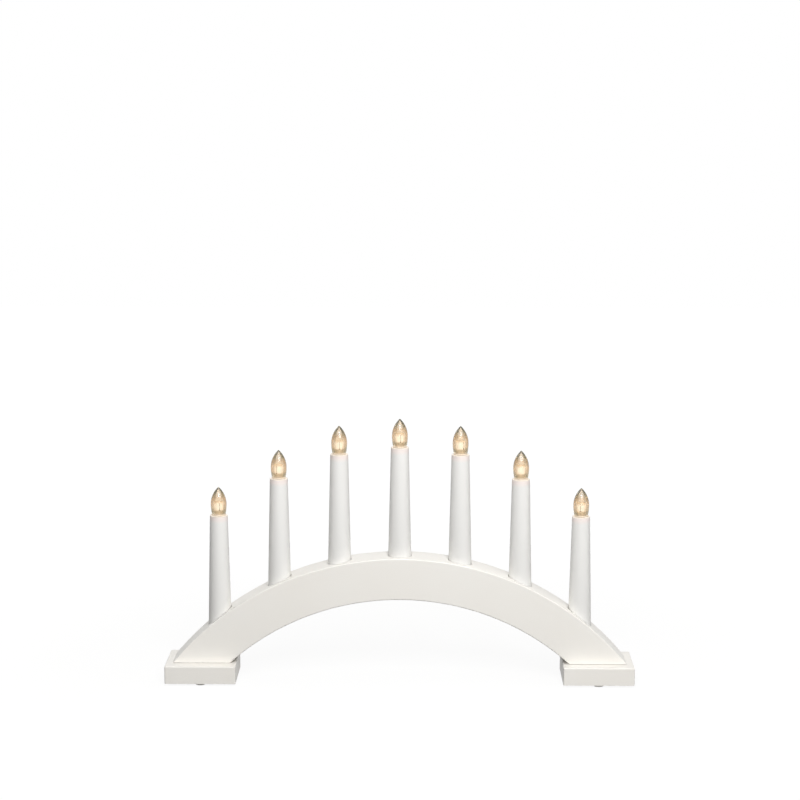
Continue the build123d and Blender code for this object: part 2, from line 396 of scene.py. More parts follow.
def piece(name, shape, body, nodes, material=None):
    """Puts a finished mesh in the scene in metres, on its body in place of its CAD nodes."""
    if material:
        shape.materials.clear()
        shape.materials.append(material)
    shape.transform(Matrix.Scale(MM, 4))
    shape.name = name
    made = bpy.data.objects.new(name, shape)
    bpy.context.collection.objects.link(made)
    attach(made, body)
    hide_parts(*nodes)
    return made


# Geometry trees

def new_tree(name, sizes):
    """An empty geometry tree with named inputs, and the sockets that give them."""
    tree = bpy.data.node_groups.new(name, "GeometryNodeTree")
    for label, kind in {"Geometry": "Geometry", **sizes, "Material": "Material"}.items():
        tree.interface.new_socket(label, in_out="INPUT", socket_type="NodeSocket" + kind)
    tree.interface.new_socket("Geometry", in_out="OUTPUT", socket_type="NodeSocketGeometry")
    return tree, add(tree, "NodeGroupInput").outputs


def close_tree(tree, geometry, given):
    """Ends a tree with real geometry in its own material."""
    whole = add(tree, "GeometryNodeRealizeInstances", {"Geometry": geometry}).outputs[0]
    finish = add(tree, "GeometryNodeSetMaterial", {"Geometry": whole, "Material": given["Material"]})
    add(tree, "NodeGroupOutput", {"Geometry": finish.outputs[0]})
    return tree


def grown(tree, shape, *helpers, **values):
    """The plain mesh that a tree makes from a mesh, with the tree's inputs given by name."""
    stand = standing(shape)
    growth = stand.modifiers.new("growth", "NODES")
    growth.node_group = tree
    for item in tree.interface.items_tree:
        key = item.name.lower().replace(" ", "_")
        if item.in_out == "INPUT" and key in values:
            growth[item.identifier] = values[key]
    return baked(stand, *helpers)


def bent_strip_tree():
    """A strip with eased arrises, bent about Y to an even arc over the centre."""
    tree, given = new_tree("bent_strip", {
        "Middle Radius": "Float", "Half Sweep": "Float", "Segments": "Int",
        "Width": "Float", "Thickness": "Float", "Arris": "Float"})
    start = add(tree, "ShaderNodeMath", {0: pi / 2, 1: given["Half Sweep"]}, operation="SUBTRACT")
    sweep = add(tree, "ShaderNodeMath", {0: given["Half Sweep"], 1: 2.0}, operation="MULTIPLY")
    arc = add(tree, "GeometryNodeCurveArc", {
        "Resolution": given["Segments"], "Radius": given["Middle Radius"],
        "Start Angle": start.outputs[0], "Sweep Angle": sweep.outputs[0]}, mode="RADIUS")
    outline = add(tree, "GeometryNodeCurvePrimitiveQuadrilateral", {
        "Width": given["Width"], "Height": given["Thickness"]})
    outline = add(tree, "GeometryNodeFilletCurve", {
        "Curve": outline.outputs[0], "Count": 5, "Radius": given["Arris"]}, mode="POLY")
    strip = add(tree, "GeometryNodeCurveToMesh", {
        "Curve": arc.outputs[0], "Profile Curve": outline.outputs[0], "Fill Caps": True})
    upright = add(tree, "GeometryNodeTransform", {
        "Geometry": strip.outputs[0], "Rotation": Euler((pi / 2, 0, 0))})
    return close_tree(tree, upright.outputs[0], given)


def set_out_tree():
    """One finished piece set at every point, turned as the point's own note says."""
    tree, given = new_tree("set_out", {"Unit": "Object"})
    unit = add(tree, "GeometryNodeObjectInfo", {"Object": given["Unit"], "As Instance": True})
    turn = add(tree, "GeometryNodeInputNamedAttribute", {"Name": "turn"}, data_type="FLOAT_VECTOR")
    turn = add(tree, "FunctionNodeEulerToRotation", {"Euler": turn.outputs[0]})
    copies = add(tree, "GeometryNodeInstanceOnPoints", {
        "Points": given["Geometry"], "Instance": unit.outputs["Geometry"], "Rotation": turn.outputs[0]})
    return close_tree(tree, copies.outputs[0], given)


def rolled_thread_tree():
    """Presses a right-hand round thread into a turned body's walls, fading out at both ends."""
    tree, given = new_tree("rolled_thread", {
        "Pitch": "Float", "Depth": "Float", "Start": "Float", "End": "Float",
        "Run Out": "Float", "Least Radius": "Float"})
    here = add(tree, "GeometryNodeInputPosition").outputs[0]
    part = add(tree, "ShaderNodeSeparateXYZ", {0: here}).outputs
    round_angle = add(tree, "ShaderNodeMath", {0: part[1], 1: part[0]}, operation="ARCTAN2").outputs[0]
    turns = add(tree, "ShaderNodeMath", {0: part[2], 1: given["Pitch"]}, operation="DIVIDE").outputs[0]
    phase = add(tree, "ShaderNodeMath", {0: turns, 1: 2 * pi}, operation="MULTIPLY").outputs[0]
    phase = add(tree, "ShaderNodeMath", {0: phase, 1: round_angle}, operation="SUBTRACT").outputs[0]
    wave = add(tree, "ShaderNodeMath", {0: phase}, operation="COSINE").outputs[0]
    dip = add(tree, "ShaderNodeMath", {0: wave, 1: -0.5, 2: 0.5}, operation="MULTIPLY_ADD").outputs[0]
    dip = add(tree, "ShaderNodeMath", {0: dip, 1: given["Depth"]}, operation="MULTIPLY").outputs[0]
    run_out = given["Run Out"]
    first = add(tree, "ShaderNodeMath", {0: given["Start"], 1: run_out}, operation="ADD").outputs[0]
    last = add(tree, "ShaderNodeMath", {0: given["End"], 1: run_out}, operation="SUBTRACT").outputs[0]
    for outer, inner in ((given["Start"], first), (given["End"], last)):
        fade = add(tree, "ShaderNodeMapRange", {
            "Value": part[2], "From Min": outer, "From Max": inner}, interpolation_type="SMOOTHSTEP")
        dip = add(tree, "ShaderNodeMath", {0: dip, 1: fade.outputs[0]}, operation="MULTIPLY").outputs[0]
    flat = add(tree, "ShaderNodeCombineXYZ", {0: part[0], 1: part[1]}).outputs[0]
    reach = add(tree, "ShaderNodeVectorMath", {0: flat}, operation="LENGTH").outputs["Value"]
    wall = add(tree, "ShaderNodeMath", {
        0: reach, 1: given["Least Radius"]}, operation="GREATER_THAN").outputs[0]
    dip = add(tree, "ShaderNodeMath", {0: dip, 1: wall}, operation="MULTIPLY").outputs[0]
    inwards = add(tree, "ShaderNodeVectorMath", {0: flat}, operation="NORMALIZE").outputs[0]
    move = add(tree, "ShaderNodeMath", {0: dip, 1: -1.0}, operation="MULTIPLY").outputs[0]
    move = add(tree, "ShaderNodeVectorMath", {0: inwards, "Scale": move}, operation="SCALE").outputs[0]
    pressed = add(tree, "GeometryNodeSetPosition", {"Geometry": given["Geometry"], "Offset": move})
    return close_tree(tree, pressed.outputs[0], given)


bent_strip = bent_strip_tree()
set_out = set_out_tree()
rolled_thread = rolled_thread_tree()


def repeated(unit, places, material):
    """One mesh of a piece set out at each (place, turn about X, Y and Z)."""
    points = bpy.data.meshes.new("points")
    points.from_pydata([place for place, turn in places], [], [])
    turns = points.attributes.new("turn", "FLOAT_VECTOR", "POINT")
    for spot, (place, turn) in enumerate(places):
        turns.data[spot].vector = turn
    pattern = standing(unit)
    return grown(set_out, points, pattern, unit=pattern, material=material)


# Materials

def new_material(name):
    """An empty node material and its tree."""
    made = bpy.data.materials.new(name)
    made.use_nodes = True
    made.node_tree.nodes.clear()
    return made, made.node_tree


def end_material(tree, inputs):
    """Ends a material's tree with the shader that carries its look."""
    shader = add(tree, "ShaderNodeBsdfPrincipled", inputs)
    add(tree, "ShaderNodeOutputMaterial", {"Surface": shader.outputs[0]})


def lacquer():
    """Satin lacquer sprayed on fine-grained wood: an even warm white, a faint long
    grain that telegraphs through, and the soft dimples of spray, about 1.5 mm apart."""
    made, tree = new_material("satin_lacquer_sprayed_on_beech")
    run = add(tree, "ShaderNodeAttribute", attribute_name="run").outputs["Vector"]
    # Grain streaks 1.2 mm wide and 30 mm long
    along = add(tree, "ShaderNodeVectorMath", {0: run, 1: (1 / 30, 1 / 1.2, 1 / 1.2)}, operation="MULTIPLY")
    grain = add(tree, "ShaderNodeTexNoise", {
        "Vector": along.outputs[0], "Scale": 1.0, "Detail": 3.0}).outputs[0]
    dimples = add(tree, "ShaderNodeTexNoise", {"Vector": run, "Scale": 1 / 1.5, "Detail": 1.0}).outputs[0]
    height = add(tree, "ShaderNodeMath", {0: grain, 1: 0.6, 2: dimples}, operation="MULTIPLY_ADD").outputs[0]
    # Clouds 70 mm wide in the white, where the coat is thinner
    clouds = add(tree, "ShaderNodeTexNoise", {"Vector": run, "Scale": 1 / 70, "Detail": 2.0}).outputs[0]
    white = add(tree, "ShaderNodeMix", {
        0: clouds, 6: hue("#F0EEE9"), 7: hue("#EBE7E0")}, data_type="RGBA").outputs[2]
    rough = add(tree, "ShaderNodeMapRange", {"Value": grain, "To Min": 0.36, "To Max": 0.46}).outputs[0]
    bump = add(tree, "ShaderNodeBump", {"Strength": 0.25, "Distance": 0.02 * MM, "Height": height}).outputs[0]
    end_material(tree, {
        "Base Color": white, "Roughness": rough, "Specular IOR Level": 0.35, "Normal": bump})
    return made


def tube_plastic():
    """Satin moulded ABS: a cool even white with a fine etched grain, drawn 0.4 mm wide so
    that it shows, and warmer for 6 mm under the rim, where the lamp shines through."""
    made, tree = new_material("abs_moulded_satin_white")
    below = add(tree, "ShaderNodeAttribute", attribute_name="rise").outputs["Fac"]
    glow = add(tree, "ShaderNodeMapRange", {
        "Value": below, "From Min": -7.0, "From Max": -1.0}, interpolation_type="SMOOTHSTEP").outputs[0]
    white = add(tree, "ShaderNodeMix", {
        0: glow, 6: hue("#E7E6E3"), 7: hue("#EFE4DF")}, data_type="RGBA").outputs[2]
    spot = add(tree, "ShaderNodeTexCoord").outputs["Object"]
    etch = add(tree, "ShaderNodeTexNoise", {
        "Vector": spot, "Scale": 1 / (0.4 * MM), "Detail": 2.0}).outputs[0]
    rough = add(tree, "ShaderNodeMapRange", {"Value": etch, "To Min": 0.42, "To Max": 0.52}).outputs[0]
    bump = add(tree, "ShaderNodeBump", {"Strength": 0.2, "Distance": 0.01 * MM, "Height": etch}).outputs[0]
    end_material(tree, {
        "Base Color": white, "Roughness": rough, "Specular IOR Level": 0.25, "Normal": bump})
    return made


def moulded_white():
    """Glossy moulded PBT, as lamp holders are: a creamy white with faint flow marks,
    and a faint painted peach glow that stands in for the lamps' light.
    """
    made, tree = new_material("pbt_moulded_gloss_white")
    spot = add(tree, "ShaderNodeTexCoord").outputs["Object"]
    flow = add(tree, "ShaderNodeTexNoise", {
        "Vector": spot, "Scale": 1 / (6 * MM), "Detail": 2.0, "Distortion": 1.5}).outputs[0]
    white = add(tree, "ShaderNodeMix", {
        0: flow, 6: hue("#F3ECE3"), 7: hue("#EDE4D8")}, data_type="RGBA").outputs[2]
    bump = add(tree, "ShaderNodeBump", {"Strength": 0.2, "Distance": 0.03 * MM, "Height": flow}).outputs[0]
    # The emission is a painted glow, as if the lamps lit the holders; the keepers and the bush share it
    end_material(tree, {
        "Base Color": white, "Roughness": 0.28, "Specular IOR Level": 0.4, "Normal": bump,
        "Emission Color": hue("#FFD8BC"), "Emission Strength": 0.06})
    return made


def felt():
    """Pressed wool felt: a matt off-white mat. Its fibres are drawn about 0.25 mm thick,
    ten times too coarse, so that they show."""
    made, tree = new_material("wool_felt_pressed_white")
    spot = add(tree, "ShaderNodeTexCoord").outputs["Object"]
    fibres = add(tree, "ShaderNodeTexNoise", {
        "Vector": spot, "Scale": 1 / (0.5 * MM), "Detail": 6.0, "Distortion": 2.0}).outputs[0]
    grey = add(tree, "ShaderNodeMix", {
        0: fibres, 6: hue("#D2CFC8"), 7: hue("#EFEDE8")}, data_type="RGBA").outputs[2]
    bump = add(tree, "ShaderNodeBump", {"Strength": 0.9, "Distance": 0.25 * MM, "Height": fibres}).outputs[0]
    end_material(tree, {
        "Base Color": grey, "Roughness": 0.95, "Sheen Weight": 0.4, "Sheen Roughness": 0.5, "Normal": bump})
    return made


def wire_insulation():
    """Extruded PVC: a soft satin white with faint marks of the die, about 1.2 mm apart."""
    made, tree = new_material("pvc_extruded_white")
    spot = add(tree, "ShaderNodeTexCoord").outputs["Object"]
    marks = add(tree, "ShaderNodeTexNoise", {
        "Vector": spot, "Scale": 1 / (1.2 * MM), "Detail": 2.0}).outputs[0]
    white = add(tree, "ShaderNodeMix", {
        0: marks, 6: hue("#E6E4DE"), 7: hue("#DAD7D0")}, data_type="RGBA").outputs[2]
    bump = add(tree, "ShaderNodeBump", {"Strength": 0.3, "Distance": 0.03 * MM, "Height": marks}).outputs[0]
    end_material(tree, {"Base Color": white, "Roughness": 0.5, "Normal": bump})
    return made


def metal(name, light, dark, roughness, grain_mm):
    """A metal whose tone and gloss drift a little over its surface, as handled or plated metal does."""
    made, tree = new_material(name)
    spot = add(tree, "ShaderNodeTexCoord").outputs["Object"]
    drift = add(tree, "ShaderNodeTexNoise", {
        "Vector": spot, "Scale": 1 / (grain_mm * MM), "Detail": 4.0}).outputs[0]
    tone = add(tree, "ShaderNodeMix", {0: drift, 6: hue(light), 7: hue(dark)}, data_type="RGBA").outputs[2]
    rough = add(tree, "ShaderNodeMapRange", {
        "Value": drift, "To Min": roughness - 0.08, "To Max": roughness + 0.1}).outputs[0]
    bump = add(tree, "ShaderNodeBump", {"Strength": 0.15, "Distance": 0.02 * MM, "Height": drift}).outputs[0]
    end_material(tree, {"Base Color": tone, "Metallic": 1.0, "Roughness": rough, "Normal": bump})
    return made


def insulator():
    """Moulded phenolic: nearly black and glossy, with a mealy filler in grains of 0.3 mm."""
    made, tree = new_material("phenolic_moulded_black")
    spot = add(tree, "ShaderNodeTexCoord").outputs["Object"]
    filler = add(tree, "ShaderNodeTexNoise", {
        "Vector": spot, "Scale": 1 / (0.3 * MM), "Detail": 3.0}).outputs[0]
    black = add(tree, "ShaderNodeMix", {
        0: filler, 6: hue("#171412"), 7: hue("#2B2623")}, data_type="RGBA").outputs[2]
    rough = add(tree, "ShaderNodeMapRange", {"Value": filler, "To Min": 0.22, "To Max": 0.38}).outputs[0]
    end_material(tree, {"Base Color": black, "Roughness": rough})
    return made


def hood_acrylic():
    """Clear amber acrylic, moulded and polished: nearly clear over the lit guide, peach
    beside it, olive towards the outline, partly the amber seen along the wall's depth and partly
    painted shade, darkest at the solid point, with a painted highlight streak up the middle."""
    made, tree = new_material("acrylic_moulded_amber")
    rise = add(tree, "ShaderNodeAttribute", attribute_name="rise").outputs["Fac"]
    level = add(tree, "ShaderNodeMapRange", {"Value": rise, "From Min": 1.5, "From Max": 28.6}).outputs[0]
    front = add(tree, "ShaderNodeValToRGB", {0: level}, stops=(
        (0.0, "#F1E2CF"), (0.04, "#E6D8C0"), (0.07, "#D8C7AD"), (0.13, "#D6C6AA"),
        (0.16, "#E6D6BA"), (0.2, "#FFF6E6"), (0.37, "#FFF8EA"), (0.44, "#F0DFC8"),
        (0.54, "#E8CEAC"), (0.64, "#EFD6B9"), (0.72, "#F4E9DC"), (1.0, "#FBF9F2"))).outputs[0]
    # Beside the middle and at the outline the amber is darkened with painted shade, olive and darkest towards
    # the point
    wall = add(tree, "ShaderNodeValToRGB", {0: level}, stops=(
        (0.0, "#EADFCE"), (0.04, "#CFC0A2"), (0.07, "#AFA083"), (0.14, "#BEAC8D"),
        (0.2, "#DABD98"), (0.3, "#D9B58D"), (0.45, "#D5B48C"), (0.56, "#D0B28D"),
        (0.64, "#C0A684"), (0.71, "#ACA084"), (0.785, "#8F8C76"), (0.86, "#666B5C"),
        (1.0, "#585D4E"))).outputs[0]
    edge = add(tree, "ShaderNodeValToRGB", {0: level}, stops=(
        (0.0, "#B9B396"), (0.075, "#8D8468"), (0.12, "#A09474"), (0.2, "#B4A685"),
        (0.3, "#BCA580"), (0.485, "#B09A7A"), (0.56, "#A08C6C"), (0.71, "#A29A78"),
        (0.785, "#8C8C76"), (0.86, "#6A6E5E"), (1.0, "#555A4A"))).outputs[0]
    # Flow of the moulding, in streaks about 5 mm wide, where the amber turns to olive
    spot = add(tree, "ShaderNodeTexCoord").outputs["Object"]
    flow = add(tree, "ShaderNodeTexNoise", {"Vector": spot, "Scale": 1 / (5 * MM), "Detail": 1.0}).outputs[0]
    flow = add(tree, "ShaderNodeMapRange", {
        "Value": flow, "From Min": 0.42, "From Max": 0.62, "To Max": 0.55},
        interpolation_type="SMOOTHSTEP").outputs[0]
    wall = add(tree, "ShaderNodeMix", {0: flow, 6: wall, 7: edge}, data_type="RGBA").outputs[2]
    # Painted shade: the colour darkens to olive towards the outline, where the surface turns away from the
    # view
    facing = add(tree, "ShaderNodeLayerWeight", {"Blend": 0.5}).outputs["Facing"]
    # The clear middle is wide over the guide, and narrows to a painted highlight streak from there to the
    # point
    near = add(tree, "ShaderNodeMapRange", {
        "Value": level, "From Min": 0.62, "From Max": 0.8, "To Min": 0.04, "To Max": 0.13}).outputs[0]
    spread = add(tree, "ShaderNodeMapRange", {
        "Value": level, "From Min": 0.4, "From Max": 0.52, "To Min": 0.22, "To Max": 0.08}).outputs[0]
    far = add(tree, "ShaderNodeMath", {0: near, 1: spread}, operation="ADD").outputs[0]
    painted_flank_shade = add(tree, "ShaderNodeMapRange", {
        "Value": facing, "From Min": near, "From Max": far}, interpolation_type="SMOOTHSTEP").outputs[0]
    outline = add(tree, "ShaderNodeMapRange", {
        "Value": facing, "From Min": 0.45, "From Max": 0.85}, interpolation_type="SMOOTHSTEP").outputs[0]
    tint_with_painted_shade = add(tree, "ShaderNodeMix", {0: painted_flank_shade, 6: front, 7: wall}, data_type="RGBA").outputs[2]
    tint_with_painted_shade = add(tree, "ShaderNodeMix", {0: outline, 6: tint_with_painted_shade, 7: edge}, data_type="RGBA").outputs[2]
    end_material(tree, {
        "Base Color": tint_with_painted_shade, "Roughness": 0.16, "IOR": 1.49, "Transmission Weight": 0.8,
        "Specular IOR Level": 0.3})
    return made


def guide_acrylic():
    """The lit light guide in cast acrylic: a cream glow along the core, a brown band
    at its root where the diode's mount shows, and a peach spill on the round base."""
    made, tree = new_material("acrylic_guide_lit")
    rise = add(tree, "ShaderNodeAttribute", attribute_name="rise").outputs["Fac"]
    level = add(tree, "ShaderNodeMapRange", {"Value": rise, "From Min": 0.0, "From Max": 14.0}).outputs[0]
    glow = add(tree, "ShaderNodeValToRGB", {0: level}, stops=(
        (0.0, "#9C8C7E"), (0.12, "#AB9B8A"), (0.36, "#AE9B84"), (0.42, "#FFF0DA"),
        (0.6, "#FFF4E2"), (0.93, "#FFEED6"), (1.0, "#C9AC86"))).outputs[0]
    end_material(tree, {
        "Base Color": hue("#D4C8B4"), "Roughness": 0.3, "Emission Color": glow, "Emission Strength": 0.5})
    return made


def split_acrylic():
    """The unlit walls of the split down the guide, a dull warm grey."""
    made, tree = new_material("acrylic_split_dull")
    spot = add(tree, "ShaderNodeTexCoord").outputs["Object"]
    scuff = add(tree, "ShaderNodeTexNoise", {
        "Vector": spot, "Scale": 1 / (0.8 * MM), "Detail": 2.0}).outputs[0]
    grey = add(tree, "ShaderNodeMix", {
        0: scuff, 6: hue("#8F8672"), 7: hue("#B3A78E")}, data_type="RGBA").outputs[2]
    end_material(tree, {
        "Base Color": grey, "Roughness": 0.6, "Emission Color": hue("#C9B48E"), "Emission Strength": 0.35})
    return made


white_lacquer = lacquer()
tube_white = tube_plastic()
holder_white = moulded_white()
white_felt = felt()
wire_white = wire_insulation()
# Bright zinc plate on turned steel, blue-grey with a soft shine
zinc_steel = metal("steel_turned_zinc_plated", "#CDD1D4", "#A9ADB2", 0.32, 2.0)
# Rolled brass sheet, yellow with a browner tarnish where it was handled
brass_sheet = metal("brass_sheet_stamped", "#E2BE73", "#B98F4A", 0.3, 3.0)
# Nickel plate over rolled brass, a warm silver that shines on each crest
nickel_brass = metal("brass_rolled_nickel_plated", "#D6D1C6", "#B9B2A3", 0.24, 2.5)
# Tin solder, dull silver with a lumpy skin
tin_solder = metal("tin_solder_domed", "#C4C6C7", "#93969A", 0.42, 0.8)
black_phenolic = insulator()
amber_hood = hood_acrylic()
lit_guide = guide_acrylic()
dull_split = split_acrylic()


# Arch board and feet

def upright_arc(radius, angle, across=0.0, y=0.0):
    """A point at a radius and an angle from upright about the arch's centre."""
    x = radius * sin(angle) + across * cos(angle)
    z = radius * cos(angle) - across * sin(angle)
    return Vector((x, y, arch_centre_z + z))


def bent(inner, outer, thickness, arris):
    """A strip bent about the arch's centre, between two radii."""
    strip = grown(
        bent_strip, bpy.data.meshes.new("empty"), middle_radius=(inner + outer) / 2,
        half_sweep=board_half_sweep, segments=board_segments, width=outer - inner,
        thickness=thickness, arris=arris, material=white_lacquer)
    return placed(strip, Matrix.Translation((0, 0, arch_centre_z)))


def drill(radius, low, high, sides=small_sides):
    """A plain cylinder that cuts a hole along Z."""
    return lathe([(0, low), (radius, low), (radius, high), (0, high)], sides)


def screw_places():
    """The X of each foot screw, from left to right."""
    middles = [(low.x + high.x) / 2 for low, high in (
        (left_foot_low, left_foot_high), (right_foot_low, right_foot_high))]
    return [middle + side for middle in middles for side in (-screw_spacing / 2, screw_spacing / 2)]


outlet_place = Matrix.Translation(upright_arc(outlet_radius, outlet_angle)) @ Matrix.Rotation(
    outlet_angle, 4, "Y") @ Matrix.Rotation(-pi / 2, 4, "X")

board = bent(arch_inner_radius, arch_outer_radius, board_thickness, board_arris)
groove = bent(arch_inner_radius - overrun, groove_radius, groove_width, groove_ease)
half_width = cad_high.x / MM + overrun
under = block(
    Vector((-half_width, -board_thickness, arch_centre_z)), Vector((half_width, board_thickness, foot_top)))
seat_drill = drill(tube_base_radius + seat_clearance, 0, arch_rise, turned_sides)
seat_drills = joined(*[placed(seat_drill, Matrix.Translation(seat)) for seat in seats])
wire_drills = []
for seat, tilt in zip(seats, tilts):
    reach = hypot(seat.x, seat.z - arch_centre_z) + wire_hole_radius * abs(tan(tilt))
    hole = drill(wire_hole_radius, wire_height, reach)
    turn = Matrix.Rotation(tilt, 4, "Y")
    wire_drills.append(placed(hole, Matrix.Translation((0, 0, arch_centre_z)) @ turn))
clear_radius = screw_radius + screw_clearance
pilot = drill(clear_radius, foot_top - overrun, pad_thickness + screw_length + screw_clearance)
pilots = joined(*[placed(pilot, Matrix.Translation((x, 0, 0))) for x in screw_places()])
outlet_drill = placed(drill(bush_seat_radius, 0, board_thickness / 2 + overrun), outlet_place)
board = cut(board, groove, under, seat_drills, joined(*wire_drills), pilots, outlet_drill)
# The sawn ends are eased where they meet the feet, which leaves a fine dark line round each
inner_reach, outer_reach = (
    sqrt(radius**2 - (foot_top - arch_centre_z) ** 2) for radius in (arch_inner_radius, arch_outer_radius))
gaps = []
for side in (-1, 1):
    x_low, x_high = sorted((side * inner_reach, side * outer_reach))
    spread = Vector((joint_gap_depth, joint_gap_depth, 0))
    low = Vector((x_low, -board_thickness / 2, foot_top))
    high = Vector((x_high, board_thickness / 2, foot_top + joint_gap))
    sunk = Vector((0, 0, overrun))
    core = block(low + spread - 2 * sunk, high - spread + sunk)
    gaps.append(cut(block(low - spread - sunk, high + spread), core))
board = cut(board, *gaps)
board = smoothed(board, even=True)
middle_radius = (arch_inner_radius + arch_outer_radius) / 2
noted(board, "run", lambda spot: Vector((
    atan2(spot.x, spot.z - arch_centre_z) * middle_radius, spot.y, hypot(spot.x, spot.z - arch_centre_z))))
piece("arch_board_lacquered", board, "arch", ["arch_board"], white_lacquer)

for side, low, high in (
        ("left", left_foot_low, left_foot_high), ("right", right_foot_low, right_foot_high)):
    base = block(low, high, foot_arris, flat_bottom=True)
    wide = screw_head_radius + screw_clearance
    sink = lathe([
        (0, -overrun), (wide, -overrun), (wide, 0), (clear_radius, wide - clear_radius),
        (clear_radius, foot_top), (0, foot_top)], small_sides)
    sinks = [placed(sink, Matrix.Translation((x, 0, low.z))) for x in screw_places() if low.x < x < high.x]
    base = smoothed(cut(base, joined(*sinks)), even=True)
    noted(base, "run", lambda spot: spot.copy())
    piece(f"{side}_foot_block", base, "arch", [f"{side}_foot"], white_lacquer)


# Felt pads and screws

pad_low, pad_high = (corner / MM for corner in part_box("foot_pads"))
pad_spots = [Vector((x, y, 0)) for x in (
    (left_foot_low.x + left_foot_high.x) / 2, (right_foot_low.x + right_foot_high.x) / 2)
    for y in (pad_low.y + pad_radius, pad_high.y - pad_radius)]
pad = lathe(eased([
    (0, 0, 0), (pad_radius, 0, pad_ease), (pad_radius, pad_thickness, pad_ease), (0, pad_thickness, 0)]))
pads = repeated(smoothed(pad), [(spot, unturned) for spot in pad_spots], white_felt)
piece("felt_pads", pads, "arch", ["foot_pads"])

flat_head = screw_head_radius - screw_radius
screw = lathe(finely([
    (0, 0), (screw_head_radius - screw_rim, 0), (screw_head_radius, screw_rim), (screw_radius, flat_head),
    (screw_radius, screw_length - screw_point), (screw_tip_radius, screw_length),
    (0, screw_length)], screw_ring_step), screw_sides)
recess = [block(Vector((-reach, -across, -overrun)), Vector((reach, across, recess_depth)))
          for reach, across in ((recess_reach, recess_width / 2), (recess_width / 2, recess_reach))]
screw = grown(
    rolled_thread, cut(screw, *recess), pitch=screw_pitch, depth=screw_thread_depth,
    start=screw_thread[0], end=screw_thread[1], run_out=screw_run_out,
    least_radius=screw_core_radius, material=zinc_steel)
# Each screw ends its turns at another angle
screws = repeated(smoothed(screw), [
    (Vector((x, 0, pad_thickness)), (0, 0, screw_turn_per_mm * x)) for x in screw_places()], zinc_steel)
piece("countersunk_screws", screws, "arch", ["foot_screws"])


# Candle tubes, holders, shells and contacts

tube = lathe(eased([
    (tube_base_radius, 0, tube_ease), (tube_top_radius, tube_length, tube_ease),
    (tube_top_radius - tube_wall, tube_length, tube_ease),
    (tube_base_radius - tube_wall, 0, tube_ease)]), ring=True)
tube = noted(smoothed(tube), "rise", lambda spot: spot.z - tube_length)
tubes = repeated(tube, seat_places, tube_white)
piece("candle_tubes", tubes, "arch", [f"candle_tube_{number}" for number in range(1, 8)])

holder_bottom = -bore_depth - holder_floor
holder = lathe(eased([
    (0, -bore_depth, 0), (bore_radius, -bore_depth, bore_foot_ease), (bore_radius, 0, bore_mouth_ease),
    (tube_top_radius, 0, flange_ease), (tube_top_radius, -flange_thickness, edge_break),
    (barrel_radius, -flange_thickness, 0), (barrel_radius, holder_bottom, barrel_foot_ease),
    (0, holder_bottom, 0)]))
slot_reach = Vector((strip_thickness / 2 + strip_clearance, strip_width / 2 + strip_clearance, 0))
slots = []
for side in (-1, 1):
    middle = side * (shell_radius + strip_thickness / 2)
    slot_low = Vector((middle, 0, holder_bottom - overrun)) - slot_reach
    slot_high = Vector((middle, 0, shell_bottom + shell_wall)) + slot_reach
    slots.append(block(slot_low, slot_high))
holder = smoothed(cut(holder, *slots))
holders = repeated(holder, rim_places, holder_white)
piece("lamp_holder_set", holders, "arch", ["lamp_holders"])

shell = lathe(finely([
    (shell_radius, shell_bottom), (shell_radius + shell_wall, shell_bottom),
    (shell_radius + shell_wall, shell_top), (shell_radius, shell_top)], thread_ring_step), ring=True)
shell = grown(
    rolled_thread, shell, pitch=thread_pitch, depth=thread_depth, start=shell_thread[0], end=shell_thread[1],
    run_out=thread_run_out, least_radius=shell_core_radius, material=brass_sheet)
leg = block(
    Vector((shell_radius, -strip_width / 2, strip_bottom)),
    Vector((shell_radius + strip_thickness, strip_width / 2, shell_bottom + shell_wall)), strip_ease, 2)
shells = repeated(smoothed(joined(shell, leg)), rim_places, brass_sheet)
piece("thread_shell_set", shells, "arch", ["thread_shells"])


def bent_tongue():
    """A strip that comes up through the floor and bends over to lie under the lamp's foot."""
    outside = shell_radius + strip_thickness
    top = strip_thickness - bore_depth
    outline = eased([
        (-outside, strip_bottom, fine_break), (-outside, top, tongue_bend),
        (tongue_reach, top, tongue_end_ease), (tongue_reach, top - strip_thickness, tongue_end_ease),
        (-outside + strip_thickness, top - strip_thickness, tongue_bend - strip_thickness),
        (-outside + strip_thickness, strip_bottom, fine_break)])
    work = bmesh.new()
    face = work.faces.new([work.verts.new((x, -strip_width / 2, z)) for x, z in outline])
    made = bmesh.ops.extrude_face_region(work, geom=[face])
    moved = [part for part in made["geom"] if isinstance(part, bmesh.types.BMVert)]
    bmesh.ops.translate(work, vec=(0, strip_width, 0), verts=moved)
    return as_mesh(work)


tongues = repeated(smoothed(bent_tongue()), rim_places, brass_sheet)
piece("contact_tongue_set", tongues, "arch", ["centre_contacts"])


# Wires, keepers and the outlet bush

def drop(place, side, across, y):
    """Route points of a wire from a holder's leg down its tube and into the groove."""
    seat, rim, tilt = seats[place], rims[place], tilts[place]
    top = rim.z + strip_bottom + wire_overlap
    bend = across * tan(tilt / 2)
    seat_floor = Vector((
        seat.x + across * cos(tilt) + bend * sin(tilt), y,
        seat.z - across * sin(tilt) + bend * cos(tilt)))
    return [
        Vector((rim.x + side * (shell_radius - wire_radius), 0, top)), seat_floor,
        upright_arc(wire_height + wire_lead, tilt, across, y), upright_arc(wire_height, tilt, across, y),
        upright_arc(wire_height, tilt, across + side * wire_lead, y)]


def outlet_run(side):
    """Route points of a wire that rises out of the groove and turns into the bush."""
    across = side * outlet_wire_spacing / 2
    inner_end = board_thickness / 2 - bush_length + wire_overlap
    return [
        upright_arc(wire_height, outlet_angle, side * outlet_approach, wire_spacing),
        upright_arc(outlet_radius, outlet_angle, across, wire_spacing),
        upright_arc(outlet_radius, outlet_angle, across, inner_end)]


